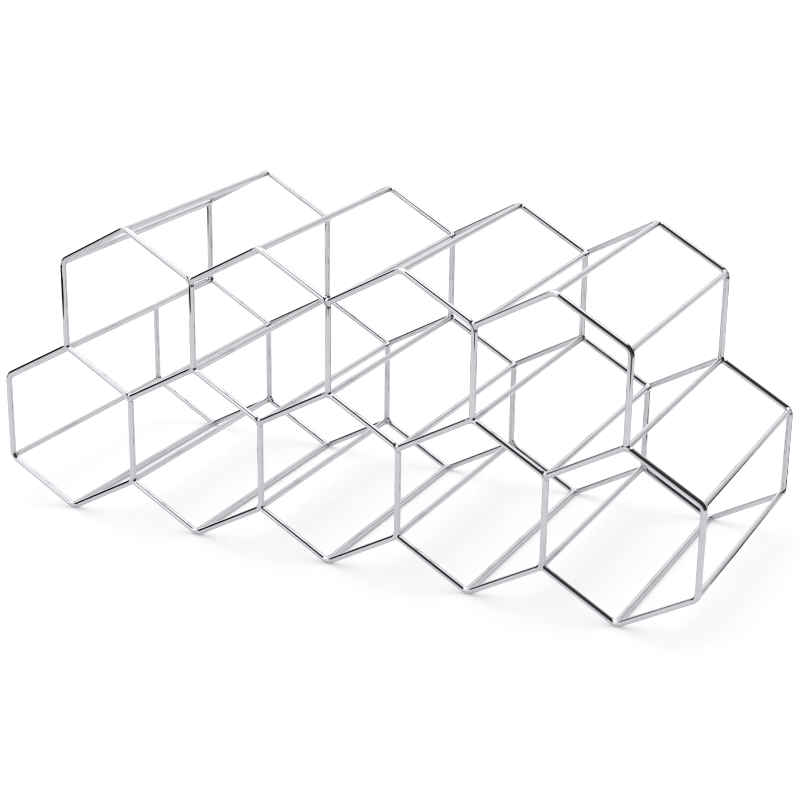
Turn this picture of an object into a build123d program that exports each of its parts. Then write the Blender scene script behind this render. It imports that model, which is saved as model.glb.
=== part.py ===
from build123d import *
import math
import os

# Wine rack for nine bottles: two honeycomb lattices of bent wire, joined by a
# straight cross rod at every corner of the honeycomb. All lengths in mm.
# +X runs along the row of bottles, -Y is the front, +Z is up, the floor is z=0.

# Wire
wire_diameter = 4.0
bend_radius = 6.5
weld_sink = 0.6

# Honeycomb, measured between wire centre lines
cell_pitch = 98.0
upright_length = 59.0
slope_rise = 27.65
bottom_cells = 5
top_cells = 4

# Distance between the centre planes of the two lattices
lattice_spacing = 182.6

wire_radius = wire_diameter / 2
slope_angle = math.degrees(math.atan2(slope_rise, cell_pitch / 2))
front_plane = -lattice_spacing / 2


def bend_inset(turn):
    """How far a bend's middle lies inside the sharp corner it rounds off."""
    return bend_radius * (1 / math.cos(math.radians(turn / 2)) - 1)


# A peak turns the wire from one slope to the other, a side corner turns it
# from a slope to an upright.
peak_inset = bend_inset(2 * slope_angle)
side_inset = bend_inset(90 - slope_angle)

# A landing wire stops short of the sharp corner it is welded to.
peak_landing = wire_radius - weld_sink - peak_inset
side_landing = wire_radius - weld_sink - side_inset

# The lowest bends stand on the floor.
floor_level = wire_radius - peak_inset
low_side_level = floor_level + slope_rise
high_side_level = low_side_level + upright_length
saddle_level = high_side_level + slope_rise
shoulder_level = saddle_level + upright_length
ridge_level = shoulder_level + slope_rise


def bottom_centre(cell):
    return (cell - (bottom_cells + 1) / 2) * cell_pitch


def top_centre(cell):
    return (cell - (top_cells + 1) / 2) * cell_pitch


def corner(x, z):
    """A sharp corner of the lattice, in the plane that bends are drawn in."""
    return Vector(x, 0, z)


def bottom_corners(cell):
    """Corners of a bottom cell by name."""
    x = bottom_centre(cell)
    half = cell_pitch / 2
    return {
        "foot": corner(x, floor_level),
        "low_left": corner(x - half, low_side_level),
        "high_left": corner(x - half, high_side_level),
        "peak": corner(x, saddle_level),
        "high_right": corner(x + half, high_side_level),
        "low_right": corner(x + half, low_side_level),
    }


def top_corners(cell):
    """Corners of a top cell by name, from its two feet to its peak."""
    x = top_centre(cell)
    half = cell_pitch / 2
    return {
        "left_foot": corner(x - half, saddle_level),
        "left_shoulder": corner(x - half, shoulder_level),
        "peak": corner(x, ridge_level),
        "right_shoulder": corner(x + half, shoulder_level),
        "right_foot": corner(x + half, saddle_level),
    }


def toward(start, end, distance):
    """The point a given distance from start on the way to end."""
    return start + (end - start).normalized() * distance


def straight_run(start, end):
    """A straight length of wire."""
    along = end - start
    section = Plane(origin=start, z_dir=along) * Circle(wire_radius)
    return extrude(section, amount=along.length)


def bend(before, at, after):
    """The rounded corner at a point: the solid, where it starts and ends."""
    to_before = (before - at).normalized()
    to_after = (after - at).normalized()
    inside_angle = to_before.get_angle(to_after)
    turn = 180 - inside_angle
    tangent_length = bend_radius * math.tan(math.radians(turn / 2))
    start = at + to_before * tangent_length
    end = at + to_after * tangent_length
    inward = (to_before + to_after).normalized()
    centre = at + inward * (bend_radius / math.cos(math.radians(turn / 2)))
    turning = (to_before * -1).cross(to_after).normalized()
    section = Plane(origin=start, z_dir=to_before * -1) * Circle(wire_radius)
    arc = revolve(section, Axis(centre, turning), turn)
    return arc, start, end


def joined(pieces):
    """One wire from lengths that meet end to end."""
    wire = pieces[0].fuse(*pieces[1:])
    return wire.solids()[0]


def open_wire(points):
    """A wire through the points, rounded at all but the two ends."""
    pieces = []
    last_end = points[0]
    for before, at, after in zip(points, points[1:], points[2:]):
        arc, start, end = bend(before, at, after)
        pieces.append(straight_run(last_end, start))
        pieces.append(arc)
        last_end = end
    pieces.append(straight_run(last_end, points[-1]))
    return joined(pieces)


def closed_ring(points):
    """A ring through the points, rounded at every one."""
    count = len(points)
    bends = []
    for i in range(count):
        before = points[i - 1]
        after = points[(i + 1) % count]
        bends.append(bend(before, points[i], after))
    pieces = []
    for i in range(count):
        arc, start, end = bends[i]
        next_start = bends[(i + 1) % count][1]
        pieces.append(arc)
        pieces.append(straight_run(end, next_start))
    return joined(pieces)


def end_ring():
    """The closed six-sided ring of bottom cell 1."""
    return closed_ring(list(bottom_corners(1).values()))


def bottom_wire(cell):
    """A bottom cell of five sides, both ends on the cell to its left."""
    c = bottom_corners(cell)
    high_end = toward(c["high_left"], c["peak"], side_landing)
    low_end = toward(c["low_left"], c["foot"], side_landing)
    points = [
        high_end,
        c["peak"],
        c["high_right"],
        c["low_right"],
        c["foot"],
        low_end,
    ]
    return open_wire(points)


def top_arch():
    """Top cell 1: an upright, two slopes and an upright."""
    c = top_corners(1)
    points = [
        toward(c["left_foot"], c["left_shoulder"], peak_landing),
        c["left_shoulder"],
        c["peak"],
        c["right_shoulder"],
        toward(c["right_foot"], c["right_shoulder"], peak_landing),
    ]
    return open_wire(points)


def top_hook(cell):
    """A top cell of two slopes and an upright, begun on the cell to its left."""
    c = top_corners(cell)
    points = [
        toward(c["left_shoulder"], c["peak"], side_landing),
        c["peak"],
        c["right_shoulder"],
        toward(c["right_foot"], c["right_shoulder"], peak_landing),
    ]
    return open_wire(points)


def landed(wire, *receivers):
    """The wire with its ends shaped to the wires they are welded to."""
    shaped = wire
    for receiver in receivers:
        shaped = shaped.cut(receiver).solids()[0]
    return shaped


def lattice():
    """The nine wires of one lattice in the plane y=0, by cell."""
    bottom = {1: end_ring()}
    for cell in range(2, bottom_cells + 1):
        bottom[cell] = landed(bottom_wire(cell), bottom[cell - 1])
    top = {1: landed(top_arch(), bottom[1], bottom[2])}
    for cell in range(2, top_cells + 1):
        hook = top_hook(cell)
        top[cell] = landed(hook, top[cell - 1], bottom[cell + 1])
    return bottom, top


def front_wires():
    """The front lattice, its closed ring at the left end."""
    bottom, top = lattice()
    place = Location((0, front_plane, 0))
    wires = {"front_bottom_cell_1_ring": place * bottom[1]}
    for cell in range(2, bottom_cells + 1):
        wires[f"front_bottom_cell_{cell}_wire"] = place * bottom[cell]
    wires["front_top_cell_1_arch"] = place * top[1]
    for cell in range(2, top_cells + 1):
        wires[f"front_top_cell_{cell}_hook"] = place * top[cell]
    return wires


def rear_wires(front):
    """The same lattice turned round, its closed ring at the right end."""
    wires = {}
    for name, wire in front.items():
        words = name.split("_")
        cells = bottom_cells if words[1] == "bottom" else top_cells
        cell = cells + 1 - int(words[3])
        rear_name = f"rear_{words[1]}_cell_{cell}_{words[4]}"
        wires[rear_name] = wire.rotate(Axis.Z, 180)
    return wires


def rod_places():
    """Where each cross rod runs, as x and z of its centre line."""
    side_x = side_inset * math.cos(math.radians((90 - slope_angle) / 2))
    side_z = side_inset * math.sin(math.radians((90 - slope_angle) / 2))
    half = cell_pitch / 2
    places = {}
    for cell in range(1, bottom_cells + 1):
        x = bottom_centre(cell)
        places[f"floor_rod_{cell}"] = (x, floor_level + peak_inset)
        places[f"saddle_rod_{cell}"] = (x, saddle_level - peak_inset)
    for side in range(1, bottom_cells + 2):
        x = bottom_centre(side) - half
        if side == 1:
            x += side_x
        if side == bottom_cells + 1:
            x -= side_x
        places[f"low_side_rod_{side}"] = (x, low_side_level + side_z)
        places[f"high_side_rod_{side}"] = (x, high_side_level - side_z)
    for side in range(1, top_cells + 2):
        x = top_centre(side) - half
        if side == 1:
            x += side_x
        if side == top_cells + 1:
            x -= side_x
        places[f"shoulder_rod_{side}"] = (x, shoulder_level - side_z)
    for cell in range(1, top_cells + 1):
        x = top_centre(cell)
        places[f"ridge_rod_{cell}"] = (x, ridge_level - peak_inset)
    return places


def near(wire, x, z):
    """Whether a wire comes within reach of a rod at x and z."""
    box = wire.bounding_box()
    reach = wire_diameter
    in_x = box.min.X - reach < x < box.max.X + reach
    in_z = box.min.Z - reach < z < box.max.Z + reach
    return in_x and in_z


def cross_rod(x, z, wires):
    """A straight rod with both ends shaped to the wires they are welded to."""
    rod_length = lattice_spacing - 2 * (wire_radius - weld_sink)
    start = Plane(origin=(x, -rod_length / 2, z), z_dir=(0, 1, 0))
    rod = extrude(start * Circle(wire_radius), amount=rod_length)
    for wire in wires:
        if near(wire, x, z):
            rod = max(rod.cut(wire).solids(), key=lambda s: s.volume)
    return rod


def cross_rods(wires):
    rods = {}
    for name, (x, z) in rod_places().items():
        rods[name] = cross_rod(x, z, wires)
    return rods


def write_parts():
    os.makedirs("parts", exist_ok=True)
    front = front_wires()
    rear = rear_wires(front)
    lattice_wires = {**front, **rear}
    rods = cross_rods(list(lattice_wires.values()))
    for name, solid in {**lattice_wires, **rods}.items():
        solid.label = name
        export_step(solid, f"parts/{name}.step")


write_parts()
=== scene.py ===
import math

import bpy
import numpy as np
from mathutils import Matrix, Vector


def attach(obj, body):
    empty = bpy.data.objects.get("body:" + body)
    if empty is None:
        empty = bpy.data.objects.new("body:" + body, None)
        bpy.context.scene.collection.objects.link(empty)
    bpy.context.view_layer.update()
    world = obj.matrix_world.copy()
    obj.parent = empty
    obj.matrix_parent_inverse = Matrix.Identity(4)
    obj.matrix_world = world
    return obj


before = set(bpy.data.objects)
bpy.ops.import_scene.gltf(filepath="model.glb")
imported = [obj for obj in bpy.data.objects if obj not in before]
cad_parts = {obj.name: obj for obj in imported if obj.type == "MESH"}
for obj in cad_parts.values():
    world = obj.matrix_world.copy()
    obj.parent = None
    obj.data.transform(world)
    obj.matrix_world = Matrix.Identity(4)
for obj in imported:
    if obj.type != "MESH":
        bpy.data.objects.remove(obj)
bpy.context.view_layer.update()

# The rack's dimensions, in millimetres, as the CAD part has them
WIRE_RADIUS = 2.0
BEND_RADIUS = 6.5
WELD_SINK = 0.6
CELL_PITCH = 98.0
UPRIGHT_LENGTH = 59.0
SLOPE_RISE = 27.65
LATTICE_SPACING = 182.6
SLOPE = math.atan2(SLOPE_RISE, CELL_PITCH / 2)
# Levels of the honeycomb's sharp corners. The rack stands on its lowest
# bends, whose round cuts each corner short by the inset.
PEAK_INSET = BEND_RADIUS * (1 / math.cos(SLOPE) - 1)
FLOOR_LEVEL = WIRE_RADIUS - PEAK_INSET
LOW_SIDE_LEVEL = FLOOR_LEVEL + SLOPE_RISE
HIGH_SIDE_LEVEL = LOW_SIDE_LEVEL + UPRIGHT_LENGTH
SADDLE_LEVEL = HIGH_SIDE_LEVEL + SLOPE_RISE
SHOULDER_LEVEL = SADDLE_LEVEL + UPRIGHT_LENGTH
RIDGE_LEVEL = SHOULDER_LEVEL + SLOPE_RISE
MM_PER_METRE = 1000.0
# Further than the rack is wide
FAR_AWAY = 1000.0


def sides(word, count):
    """The kinds of joint in a row of side corners."""
    return (f"{word}_left", *[f"{word}_inner"] * (count - 2), f"{word}_right")


# Rows of joints, from the floor up: a row's level, and its kinds of joint from
# the left. The joints are a pitch apart, and each row is centred on the rack.
ROWS = {
    "floor": (FLOOR_LEVEL, ("floor",) * 5),
    "low_side": (LOW_SIDE_LEVEL, sides("low", 6)),
    "high_side": (HIGH_SIDE_LEVEL, sides("high", 6)),
    "saddle": (SADDLE_LEVEL, ("saddle",) * 5),
    "shoulder": (SHOULDER_LEVEL, sides("high", 5)),
    "ridge": (RIDGE_LEVEL, ("ridge",) * 4),
}

# Camera, in the rack's own frame, in metres and degrees. A narrow pixel filter
# keeps the wires crisp.
CAMERA_PLACE = (0.5361, -1.0965, 0.5201)
CAMERA_AZIMUTH = 25.82
CAMERA_ELEVATION = 19.74
CAMERA_ROLL = 0.81
CAMERA_RANGE = 50
LENS_MM = 87.5
SENSOR_MM = 36
PIXEL_FILTER = 1.0


def make_camera():
    azimuth = math.radians(CAMERA_AZIMUTH)
    elevation = math.radians(CAMERA_ELEVATION)
    back = Vector((
        math.sin(azimuth) * math.cos(elevation),
        -math.cos(azimuth) * math.cos(elevation),
        math.sin(elevation),
    ))
    right = Vector((0, 0, 1)).cross(back).normalized()
    up = back.cross(right)
    turn = Matrix((right, up, back)).transposed().to_4x4()
    roll = Matrix.Rotation(math.radians(CAMERA_ROLL), 4, "Z")
    camera = bpy.data.objects.new("camera", bpy.data.cameras.new("camera"))
    camera.data.lens = LENS_MM
    camera.data.sensor_width = SENSOR_MM
    camera.data.clip_end = CAMERA_RANGE
    camera.matrix_world = Matrix.Translation(CAMERA_PLACE) @ turn @ roll
    bpy.context.scene.collection.objects.link(camera)
    bpy.context.scene.camera = camera


# Node helpers, for the studio and the chrome

# The places of a Mix node's colour sockets, which share their names with others
MIX_COLOUR_A = 6
MIX_COLOUR_B = 7
MIX_COLOUR_RESULT = 2


def connect(tree, socket, value):
    """Gives a socket another node's output, or a constant."""
    if isinstance(value, bpy.types.NodeSocket):
        tree.links.new(value, socket)
    else:
        socket.default_value = value


def math_node(tree, operation, *values):
    node = tree.nodes.new("ShaderNodeMath")
    node.operation = operation
    for socket, value in zip(node.inputs, values):
        connect(tree, socket, value)
    return node.outputs[0]


def ramp(tree, value, low, high, result_low=0.0, result_high=1.0):
    """result_low below low, result_high above high, and a smooth step between."""
    node = tree.nodes.new("ShaderNodeMapRange")
    node.interpolation_type = "SMOOTHSTEP"
    results = (("To Min", result_low), ("To Max", result_high))
    for name, number in (("From Min", low), ("From Max", high), *results):
        node.inputs[name].default_value = number
    tree.links.new(value, node.inputs["Value"])
    return node.outputs["Result"]


def blended(tree, share, under, over):
    """A number between two, over where the share is 1."""
    node = tree.nodes.new("ShaderNodeMix")
    connect(tree, node.inputs["Factor"], share)
    connect(tree, node.inputs["A"], under)
    connect(tree, node.inputs["B"], over)
    return node.outputs["Result"]


def colour_mix(tree, share, under, over):
    """A colour between two, over where the share is 1."""
    node = tree.nodes.new("ShaderNodeMix")
    node.data_type = "RGBA"
    connect(tree, node.inputs["Factor"], share)
    connect(tree, node.inputs[MIX_COLOUR_A], under)
    connect(tree, node.inputs[MIX_COLOUR_B], over)
    return node.outputs[MIX_COLOUR_RESULT]


# Studio. Bearings are in degrees clockwise from above, with 0 towards +Y,
# behind the rack, and the camera near 154. Heights are degrees above the
# horizon. Pale walls reach up to the ceiling, and two dark screens hide part
# of them: one from the right of the rack round to its front, and one on its
# left. A profile lists (bearing, value) points, with straight lines between
# them. Its values are heights for an edge or a top, and brightnesses for a
# light.
FULL_TURN = 360.0
CEILING = 1.9
CEILING_SOFTNESS = 3
CEILING_EDGE = (
    (0, 42), (30, 53), (60, 63), (90, 66), (120, 68), (150, 67), (165, 62),
    (180, 52), (300, 50), (360, 42),
)
WALL_LIGHT = (
    (0, 1.25), (15, 0.95), (20, 0.85), (25, 0.6), (30, 0.85), (36, 1.3), (46, 0.5),
    (135, 0.5), (160, 0.6), (176, 1.0), (186, 2.0), (194, 1.5), (205, 1.1), (215, 1.3),
    (225, 0.8), (240, 0.8), (285, 0.8), (296, 1.3), (306, 1.7), (318, 1.5),
    (325, 0.8), (335, 1.3), (348, 1.15), (360, 1.25),
)
SCREEN_SOFTNESS = 0.8
SCREEN_TOP = (
    (0, -40), (44, -40), (46, 52), (52, 58), (60, 62), (75, 65), (105, 66),
    (118, 64), (130, 60), (140, 58), (150, 57), (160, 56), (168, 51), (172, 46),
    (176, 37), (181, 25), (185, 13), (190, 0), (192, -40), (227, -40), (230, 12),
    (240, 26), (250, 31), (257, 34), (264, 35.5), (270, 36), (276, 34), (282, 29),
    (287, 15), (289, -40), (360, -40),
)
SCREEN_LIGHT = (
    (0, 0.02), (122, 0.02), (130, 0.15), (140, 0.15), (148, 0.02), (228, 0.15),
    (235, 0.01), (274, 0.01), (282, 0.12), (290, 0.12), (300, 0.02), (360, 0.02),
)
# Past the floor's edge it is dark, from just below the horizon down. The
# camera itself sees plain white.
HORIZON = (-1.0, -0.5)
BELOW_FLOOR = 0.15
CAMERA_SEES = 1.1
HEIGHT_SPAN = (-90.0, 90.0)
LIGHT_SPAN = (0.0, 4.0)


def profile(tree, bearing, points, span):
    """The profile's value at a bearing."""
    low, high = span
    node = tree.nodes.new("ShaderNodeFloatCurve")
    curve = node.mapping.curves[0]
    places = [(turn / FULL_TURN, (value - low) / (high - low)) for turn, value in points]
    # A new curve already has its two ends
    for place in places[1:-1]:
        curve.points.new(*place)
    for point, place in zip(curve.points, places):
        point.location = place
        point.handle_type = "VECTOR"
    node.mapping.update()
    connect(tree, node.inputs["Value"], math_node(tree, "DIVIDE", bearing, FULL_TURN))
    return math_node(tree, "MULTIPLY_ADD", node.outputs[0], high - low, low)


def above(tree, height, line, softness):
    """1 above the line, 0 below it."""
    over = math_node(tree, "SUBTRACT", height, line)
    return ramp(tree, over, -softness, softness)


def make_world():
    world = bpy.data.worlds.new("studio")
    bpy.context.scene.world = world
    world.use_nodes = True
    tree = world.node_tree
    place = tree.nodes.new("ShaderNodeTexCoord")
    split = tree.nodes.new("ShaderNodeSeparateXYZ")
    tree.links.new(place.outputs["Generated"], split.inputs[0])
    x, y, z = split.outputs
    degrees = math.degrees(1)
    turn = math_node(tree, "MULTIPLY", math_node(tree, "ARCTAN2", x, y), degrees)
    bearing = math_node(tree, "WRAP", turn, FULL_TURN, 0.0)
    height = math_node(tree, "MULTIPLY", math_node(tree, "ARCSINE", z), degrees)
    ceiling_edge = profile(tree, bearing, CEILING_EDGE, HEIGHT_SPAN)
    ceiling = above(tree, height, ceiling_edge, CEILING_SOFTNESS)
    walls = profile(tree, bearing, WALL_LIGHT, LIGHT_SPAN)
    light = blended(tree, ceiling, walls, CEILING)
    screen_top = profile(tree, bearing, SCREEN_TOP, HEIGHT_SPAN)
    clear = above(tree, height, screen_top, SCREEN_SOFTNESS)
    screens = profile(tree, bearing, SCREEN_LIGHT, LIGHT_SPAN)
    light = blended(tree, clear, screens, light)
    light = blended(tree, ramp(tree, height, *HORIZON), BELOW_FLOOR, light)
    path = tree.nodes.new("ShaderNodeLightPath")
    shown = blended(tree, path.outputs["Is Camera Ray"], light, CAMERA_SEES)
    background = tree.nodes["Background"]
    background.inputs["Color"].default_value = (1, 1, 1, 1)
    tree.links.new(shown, background.inputs["Strength"])


# Floor and strips, with outlines in metres. The white floor ends in front of
# the rack and to its right, so that the wires mirror the dark beyond it. Dark
# strips lie on it to the right and to the front left, and only the wires
# mirror them.
MATT_ROUGHNESS = 0.9
FLOOR_COLOUR = (0.8, 0.795, 0.81, 1)
FLOOR_SPECULAR = 0.1
FLOOR_GLOW = 0.26
FLOOR_OUTLINE = (
    (-12, -12), (-2.4, -12), (-0.5, -2.6), (-0.2, -1.1), (-0.06, -0.72),
    (0.05, -0.7), (0.2, -0.6), (0.39, -0.475), (0.59, -0.375), (0.75, -0.25),
    (0.83, 0), (0.8, 0.35), (0.53, 0.46), (0.6, 0.75), (9, 12), (-12, 12),
)
STRIP_COLOUR = (0.01, 0.01, 0.01, 1)
STRIP_LIFT = 0.0005
STRIP_OUTLINES = {
    "right_strip": (
        (0.26, 0.04), (0.3, 0.04), (0.36, 0.14), (0.48, 0.32), (0.62, 0.6),
        (0.75, 0.9), (0.62, 0.9), (0.5, 0.62), (0.38, 0.34), (0.3, 0.17),
    ),
    "left_strip": (
        (-1.0, -0.1), (-0.88, -0.42), (-0.64, -0.6), (-0.4, -0.66), (-0.14, -0.66),
        (-0.14, -0.6), (-0.32, -0.54), (-0.48, -0.43), (-0.6, -0.28), (-0.72, -0.1),
    ),
}


def flat_sheet(name, outline, level):
    """A flat matt sheet, and its material's shader."""
    mesh = bpy.data.meshes.new(name)
    corners = [(x, y, level) for x, y in outline]
    mesh.from_pydata(corners, [], [tuple(range(len(corners)))])
    sheet = bpy.data.objects.new(name, mesh)
    bpy.context.scene.collection.objects.link(sheet)
    material = bpy.data.materials.new(name)
    material.use_nodes = True
    mesh.materials.append(material)
    shader = material.node_tree.nodes["Principled BSDF"]
    shader.inputs["Roughness"].default_value = MATT_ROUGHNESS
    return sheet, shader


def make_floor():
    floor, shader = flat_sheet("floor", FLOOR_OUTLINE, 0.0)
    shader.inputs["Base Color"].default_value = FLOOR_COLOUR
    shader.inputs["Specular IOR Level"].default_value = FLOOR_SPECULAR
    shader.inputs["Emission Color"].default_value = (1, 1, 1, 1)
    shader.inputs["Emission Strength"].default_value = FLOOR_GLOW


def make_strip(name, outline):
    strip, shader = flat_sheet(name, outline, STRIP_LIFT)
    shader.inputs["Base Color"].default_value = STRIP_COLOUR
    shader.inputs["Specular IOR Level"].default_value = 0.0
    strip.visible_camera = False
    strip.visible_diffuse = False
    strip.visible_shadow = False


# Chrome. Plating that is a little cloudy, over drawn wire that is a little
# uneven, with small pits, and duller in broken patches around the welds.
# Sizes and depths are in metres. A pattern's edges are the noise values where
# it starts and where it is full.
PLATE = (0.575, 0.58, 0.60, 1)
PLATE_CLOUD = (0.545, 0.55, 0.575, 1)
PLATE_WELD = (0.46, 0.455, 0.46, 1)
PIT = (0.22, 0.21, 0.2, 1)
WELD_COLOUR_SHARE = 0.35
CLOUD_SIZE = 0.014
CLOUD_EDGES = (0.35, 0.65)
GRAIN_SIZE = 0.0011
GRAIN_EDGES = (0.3, 0.7)
FINE_DETAIL = 3.0
SWELL_SIZE = 0.009
SWELL_DETAIL = 1.0
PATCH_SIZE = 0.0016
PATCH_EDGES = (0.25, 0.6)
PATCH_DETAIL = 2.0
PIT_SPACING = 0.004
# Around a pit's centre, as shares of the spacing, and around a weld's, in mm:
# full within the first and gone beyond the second
PIT_REACH = (0.04, 0.07)
WELD_REACH = (2.2, 6.5)
# Roughness of the grain from low to high, and what the rest adds to it
GRAIN_ROUGHNESS = (0.02, 0.04)
CLOUD_ROUGHNESS = 0.012
WELD_ROUGHNESS = 0.05
PIT_ROUGHNESS = 0.3
GRAIN_DEPTH = 1.5e-6
WELD_GRAIN_DEPTH = 60e-6
SWELL_DEPTH = 6e-6
PIT_DEPTH = 40e-6


def noise(tree, place, size, detail):
    """Noise from 0 to 1, its patches about as large as size, in metres."""
    node = tree.nodes.new("ShaderNodeTexNoise")
    tree.links.new(place, node.inputs["Vector"])
    node.inputs["Scale"].default_value = 1 / size
    node.inputs["Detail"].default_value = detail
    return node.outputs["Fac"]


def fading(tree, distance, reach):
    """1 within the first distance of the reach, and 0 beyond the second."""
    return ramp(tree, distance, *reach, 1.0, 0.0)


def weld_distance(tree, place):
    """Distance to the nearest weld, in millimetres."""
    split = tree.nodes.new("ShaderNodeSeparateXYZ")
    tree.links.new(place, split.inputs[0])
    x, y, z = (math_node(tree, "MULTIPLY", axis, MM_PER_METRE) for axis in split.outputs)
    depth = math_node(tree, "ABSOLUTE", y)
    depth = math_node(tree, "SUBTRACT", depth, LATTICE_SPACING / 2 - WIRE_RADIUS)
    nearest = FAR_AWAY
    for level, kinds in ROWS.values():
        first_x = 0.0 if len(kinds) % 2 else CELL_PITCH / 2
        along = math_node(tree, "SUBTRACT", x, first_x)
        along = math_node(tree, "PINGPONG", along, CELL_PITCH / 2)
        upward = math_node(tree, "SUBTRACT", z, level)
        offset = tree.nodes.new("ShaderNodeCombineXYZ")
        for socket, value in zip(offset.inputs, (along, depth, upward)):
            tree.links.new(value, socket)
        length = tree.nodes.new("ShaderNodeVectorMath")
        length.operation = "LENGTH"
        tree.links.new(offset.outputs[0], length.inputs[0])
        nearest = math_node(tree, "MINIMUM", nearest, length.outputs["Value"])
    return nearest


def chrome():
    material = bpy.data.materials.new("chrome_wire")
    material.use_nodes = True
    tree = material.node_tree
    shader = tree.nodes["Principled BSDF"]
    place = tree.nodes.new("ShaderNodeTexCoord").outputs["Object"]
    cloud = ramp(tree, noise(tree, place, CLOUD_SIZE, FINE_DETAIL), *CLOUD_EDGES)
    grain = noise(tree, place, GRAIN_SIZE, FINE_DETAIL)
    swell = noise(tree, place, SWELL_SIZE, SWELL_DETAIL)
    patches = ramp(tree, noise(tree, place, PATCH_SIZE, PATCH_DETAIL), *PATCH_EDGES)
    weld = fading(tree, weld_distance(tree, place), WELD_REACH)
    weld = math_node(tree, "MULTIPLY", weld, patches)
    pits = tree.nodes.new("ShaderNodeTexVoronoi")
    tree.links.new(place, pits.inputs["Vector"])
    pits.inputs["Scale"].default_value = 1 / PIT_SPACING
    pit = fading(tree, pits.outputs["Distance"], PIT_REACH)

    weld_share = math_node(tree, "MULTIPLY", weld, WELD_COLOUR_SHARE)
    colour = colour_mix(tree, cloud, PLATE, PLATE_CLOUD)
    colour = colour_mix(tree, weld_share, colour, PLATE_WELD)
    colour = colour_mix(tree, pit, colour, PIT)
    tree.links.new(colour, shader.inputs["Base Color"])
    shader.inputs["Metallic"].default_value = 1

    rough = ramp(tree, grain, *GRAIN_EDGES, *GRAIN_ROUGHNESS)
    rough = math_node(tree, "MULTIPLY_ADD", cloud, CLOUD_ROUGHNESS, rough)
    rough = math_node(tree, "MULTIPLY_ADD", weld, WELD_ROUGHNESS, rough)
    rough = math_node(tree, "MULTIPLY_ADD", pit, PIT_ROUGHNESS, rough)
    tree.links.new(rough, shader.inputs["Roughness"])

    heights = (
        (grain, math_node(tree, "MULTIPLY_ADD", weld, WELD_GRAIN_DEPTH, GRAIN_DEPTH)),
        (swell, SWELL_DEPTH),
        (math_node(tree, "SUBTRACT", 1.0, pit), PIT_DEPTH),
    )
    relief = 0.0
    for height, depth in heights:
        relief = math_node(tree, "MULTIPLY_ADD", height, depth, relief)
    bump = tree.nodes.new("ShaderNodeBump")
    bump.inputs["Distance"].default_value = 1
    tree.links.new(relief, bump.inputs["Height"])
    tree.links.new(bump.outputs["Normal"], shader.inputs["Normal"])
    return material


# Welds. Where wires meet, a weld fills the creases between them. Each is
# worked out as the rounded union of the wires' ends, a little thinner than
# the wires, so that only the filled creases and small beads stand out.
# All in millimetres, about the sharp corner, with the rod towards +Y.
UNDERCUT = 0.1
FILL = 1.5
STUB = 5.2
BEADS = 3
BEAD_RADIUS = 0.62
BEAD_SIZES = (0.7, 1.2)
BEAD_FILL = 0.7
BEAD_SEED = 7
FLOOR_GAP = 0.05
# The grid that a weld's surface is found on, and how its vertices then settle
GRID = 0.42
GRID_LOW = np.array((-8.0, -2.6, -8.0))
GRID_HIGH = np.array((8.0, 7.6, 8.0))
CREASE_WIDTH = 0.6 * GRID
SETTLE_ROUNDS = 3
SETTLE_PROBE = 0.02
LEAST_STEEPNESS = 0.3
UP = np.array((0.0, 0.0, 1.0))
REARWARD = np.array((0.0, 1.0, 0.0))


def slope_way(right, up):
    """The direction of a slope that runs to right (1 or -1) and up (1 or -1)."""
    return np.array((right * math.cos(SLOPE), 0.0, up * math.sin(SLOPE)))


# Each kind of joint is the two directions of its bend, and the direction that
# a landing wire comes from, if any.
JOINTS = {
    "floor": (slope_way(-1, 1), slope_way(1, 1), None),
    "ridge": (slope_way(-1, -1), slope_way(1, -1), None),
    "saddle": (slope_way(-1, -1), slope_way(1, -1), UP),
    "low_left": (slope_way(1, -1), UP, None),
    "low_inner": (slope_way(-1, -1), UP, slope_way(1, -1)),
    "low_right": (slope_way(-1, -1), UP, None),
    "high_left": (slope_way(1, 1), -UP, None),
    "high_inner": (slope_way(-1, 1), -UP, slope_way(1, 1)),
    "high_right": (slope_way(-1, 1), -UP, None),
}


def unit(vector):
    return vector / np.linalg.norm(vector)


def bar(points, start, way, length):
    """Distance from a straight stub with round ends."""
    offset = points - start
    along = np.clip(offset @ way, 0, length)
    return np.linalg.norm(offset - along[..., None] * way, axis=-1) - WIRE_RADIUS


def flat_bar(points, start, way, length):
    """Distance from a straight stub that starts with a flat end."""
    offset = points - start
    return np.maximum(bar(points, start, way, length), -(offset @ way))


def arc(points, first, second):
    """Distance from a bend and its two legs."""
    middle = unit(first + second)
    half_inside = math.acos(float(first @ middle))
    tangent = BEND_RADIUS / math.tan(half_inside)
    centre = middle * BEND_RADIUS / math.sin(half_inside)
    offset = points - centre
    flat = offset * np.array((1.0, 0.0, 1.0))
    radial = np.linalg.norm(flat, axis=-1)
    round_part = np.hypot(radial - BEND_RADIUS, offset[..., 1]) - WIRE_RADIUS
    facing = flat @ -middle >= radial * math.sin(half_inside)
    round_part = np.where(facing, round_part, FAR_AWAY)
    legs = [bar(points, way * tangent, way, STUB - tangent) for way in (first, second)]
    return np.minimum(round_part, np.minimum(*legs))


def rounded_union(a, b, size):
    """The smaller of two distances, rounded where both surfaces are near."""
    overlap = np.maximum(size - np.abs(a - b), 0) / size
    return np.minimum(a, b) - overlap ** 2 * size / 4


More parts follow.
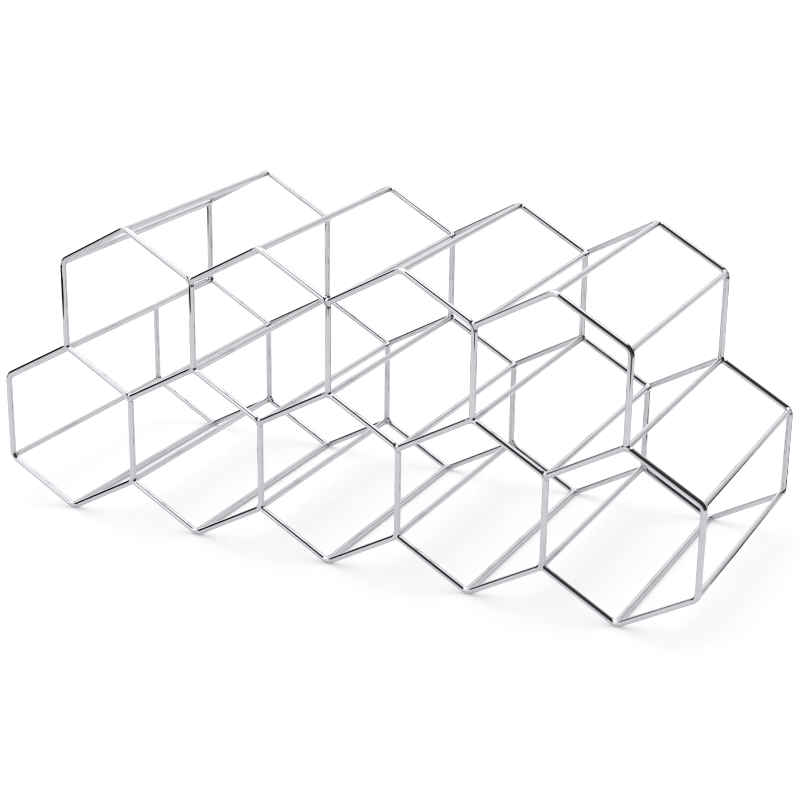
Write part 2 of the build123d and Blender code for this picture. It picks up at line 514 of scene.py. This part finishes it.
def joint_shapes(kind):
    """The stubs at one kind of joint, as functions of points."""
    first, second, landing = JOINTS[kind]
    middle = unit(first + second)
    inset = BEND_RADIUS * (1 / math.sin(math.acos(float(first @ middle))) - 1)
    rod_start = middle * inset + REARWARD * (WIRE_RADIUS - WELD_SINK)
    shapes = [
        lambda p: arc(p, first, second),
        lambda p: flat_bar(p, rod_start, REARWARD, STUB - WIRE_RADIUS),
    ]
    if landing is not None:
        start = landing * (WIRE_RADIUS - WELD_SINK - inset)
        shapes.append(lambda p: flat_bar(p, start, landing, STUB - WIRE_RADIUS + inset))
    return shapes


def weld_field(shapes, beads, floor_height):
    """Distance from a weld's surface, cut off at a height, as a function of points."""
    def distance(points):
        total = shapes[0](points)
        for shape in shapes[1:]:
            total = rounded_union(total, shape(points), FILL)
        total = total + UNDERCUT
        for centre, radius in beads:
            ball = np.linalg.norm(points - centre, axis=-1) - radius
            total = rounded_union(total, ball, BEAD_FILL)
        return np.maximum(total, floor_height - points[..., 2])
    return distance


def creases(shapes, points):
    """The points that lie close to two wires' surfaces at once."""
    near = np.sort([np.abs(shape(points)) for shape in shapes], axis=0)
    return points[near[1] < CREASE_WIDTH]


def part_of(array, spans):
    """The part of a 3-D array within {axis: (first, end)}."""
    places = [slice(None)] * 3
    for axis, (first, end) in spans.items():
        places[axis] = slice(first, end)
    return array[tuple(places)]


def net_vertices(field):
    """One vertex for each grid cell that the surface crosses, with the cells' numbers."""
    cells = np.array(field.shape) - 1
    total = np.zeros((*cells, 3))
    count = np.zeros(cells)
    for axis in range(3):
        low = part_of(field, {axis: (None, -1)})
        high = part_of(field, {axis: (1, None)})
        crossed = (low < 0) != (high < 0)
        share = np.where(crossed, low / np.where(crossed, low - high, 1), 0)
        spot = np.moveaxis(np.indices(low.shape).astype(float), 0, -1)
        spot[..., axis] += share
        a, b = [other for other in range(3) if other != axis]
        for shift_a, shift_b in ((0, 0), (0, 1), (1, 0), (1, 1)):
            spans = {a: (shift_a, shift_a + cells[a]), b: (shift_b, shift_b + cells[b])}
            counted = part_of(crossed, spans)
            total += part_of(spot, spans) * counted[..., None]
            count += counted
    used = count > 0
    numbers = np.full(cells, -1)
    numbers[used] = np.arange(used.sum())
    return GRID_LOW + GRID * total[used] / count[used][:, None], numbers


def net_faces(field, numbers):
    """One four-sided face for each grid edge that the surface crosses."""
    cells = numbers.shape
    faces = []
    for axis in range(3):
        a, b = (axis + 1) % 3, (axis + 2) % 3
        inner = {a: (1, -1), b: (1, -1)}
        inside_low = part_of(field, {axis: (None, -1), **inner}) < 0
        inside_high = part_of(field, {axis: (1, None), **inner}) < 0
        corners = []
        for shift_a, shift_b in ((0, 0), (1, 0), (1, 1), (0, 1)):
            spans = {
                a: (shift_a, shift_a + cells[a] - 1),
                b: (shift_b, shift_b + cells[b] - 1),
            }
            corners.append(part_of(numbers, spans))
        quads = np.stack(corners, axis=-1)
        faces.append(quads[inside_low & ~inside_high])
        faces.append(quads[~inside_low & inside_high][:, ::-1])
    return np.concatenate(faces)


def settled(distance, vertices):
    """The vertices moved onto the surface itself."""
    for _ in range(SETTLE_ROUNDS):
        here = distance(vertices)
        probes = [distance(vertices + SETTLE_PROBE * axis) - here for axis in np.eye(3)]
        slope = np.stack(probes, axis=-1) / SETTLE_PROBE
        steepness = np.maximum((slope ** 2).sum(axis=-1), LEAST_STEEPNESS)
        move = slope * (here / steepness)[:, None]
        vertices = vertices - np.clip(move, -GRID / 2, GRID / 2)
    return vertices


def weld_mesh(kind, level, chance):
    """The vertices and faces of one weld, about its corner."""
    counts = ((GRID_HIGH - GRID_LOW) / GRID).astype(int) + 1
    grid = np.moveaxis(np.indices(counts), 0, -1) * GRID + GRID_LOW
    shapes = joint_shapes(kind)
    places = creases(shapes, grid)
    chosen = places[chance.choice(len(places), BEADS, replace=False)]
    beads = [(spot, BEAD_RADIUS * chance.uniform(*BEAD_SIZES)) for spot in chosen]
    distance = weld_field(shapes, beads, FLOOR_GAP - level)
    field = distance(grid)
    vertices, numbers = net_vertices(field)
    return settled(distance, vertices), net_faces(field, numbers)


def make_welds(material):
    """One piece for each row of each lattice. The rear lattice is the front one
    turned half round."""
    chance = np.random.default_rng(BEAD_SEED)
    for lattice, facing in (("front", 1), ("rear", -1)):
        for row, (level, kinds) in ROWS.items():
            vertices, faces, count = [], [], 0
            for i, kind in enumerate(kinds):
                x = (i - (len(kinds) - 1) / 2) * CELL_PITCH
                points, quads = weld_mesh(kind, level, chance)
                points = points + np.array((x, -LATTICE_SPACING / 2, level))
                vertices.append(points * np.array((facing, facing, 1)) / MM_PER_METRE)
                faces.append(quads + count)
                count += len(points)
            mesh = bpy.data.meshes.new(f"{lattice}_{row}_welds")
            vertices, faces = np.concatenate(vertices), np.concatenate(faces)
            mesh.from_pydata(vertices.tolist(), [], faces.tolist())
            mesh.shade_smooth()
            mesh.materials.append(material)
            welds = bpy.data.objects.new(mesh.name, mesh)
            bpy.context.scene.collection.objects.link(welds)
            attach(welds, "root")


make_camera()
make_world()
make_floor()
for strip_name, strip_outline in STRIP_OUTLINES.items():
    make_strip(strip_name, strip_outline)
wire = chrome()
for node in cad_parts.values():
    node.data.materials.clear()
    node.data.materials.append(wire)
make_welds(wire)
bpy.context.scene.view_settings.view_transform = "Standard"
bpy.context.scene.cycles.filter_width = PIXEL_FILTER
